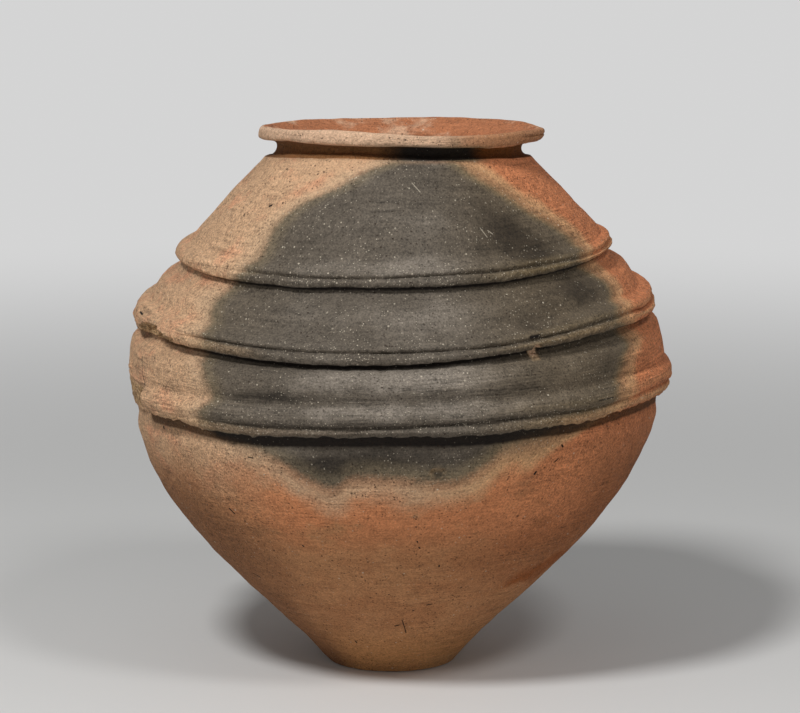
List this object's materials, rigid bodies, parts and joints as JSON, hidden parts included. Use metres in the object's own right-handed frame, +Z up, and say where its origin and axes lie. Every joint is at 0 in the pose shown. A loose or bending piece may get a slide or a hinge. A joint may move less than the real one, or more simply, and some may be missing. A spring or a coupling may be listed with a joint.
{
  "type": "storage jar",
  "caption": "Wide-bellied earthenware storage jar with a small flat base, raised cordons round the shoulder and a thick turned-out rim round an open mouth.",
  "frame": {"origin": "middle of the underside of the base disc, on the surface that the jar stands on", "axes": "+Z up through the mouth, -Y towards the side with the dark fire mark, +X to the right of that side"},
  "size_m": [0.3829, 0.388, 0.3862],
  "materials": {
    "orange_clay": "coarse unglazed earthenware, orange-tan, matt and gritty",
    "buff_clay": "coarse unglazed earthenware, buff to pinkish, wiped and matt",
    "smoked_clay": "coarse unglazed earthenware, grey-black where smoke and fire marked it, matt, with pale grit"
  },
  "bodies": {
    "root": {"base_disc": "orange_clay", "foot_wall": "orange_clay", "lower_wall": "orange_clay", "flare_wall": "orange_clay", "belly_wall": "smoked_clay", "upper_belly_wall": "smoked_clay", "shoulder_wall": "buff_clay", "everted_rim": "buff_clay", "cordon_lower": "smoked_clay", "cordon_middle": "smoked_clay", "cordon_upper": "smoked_clay"}
  },
  "joints": []
}
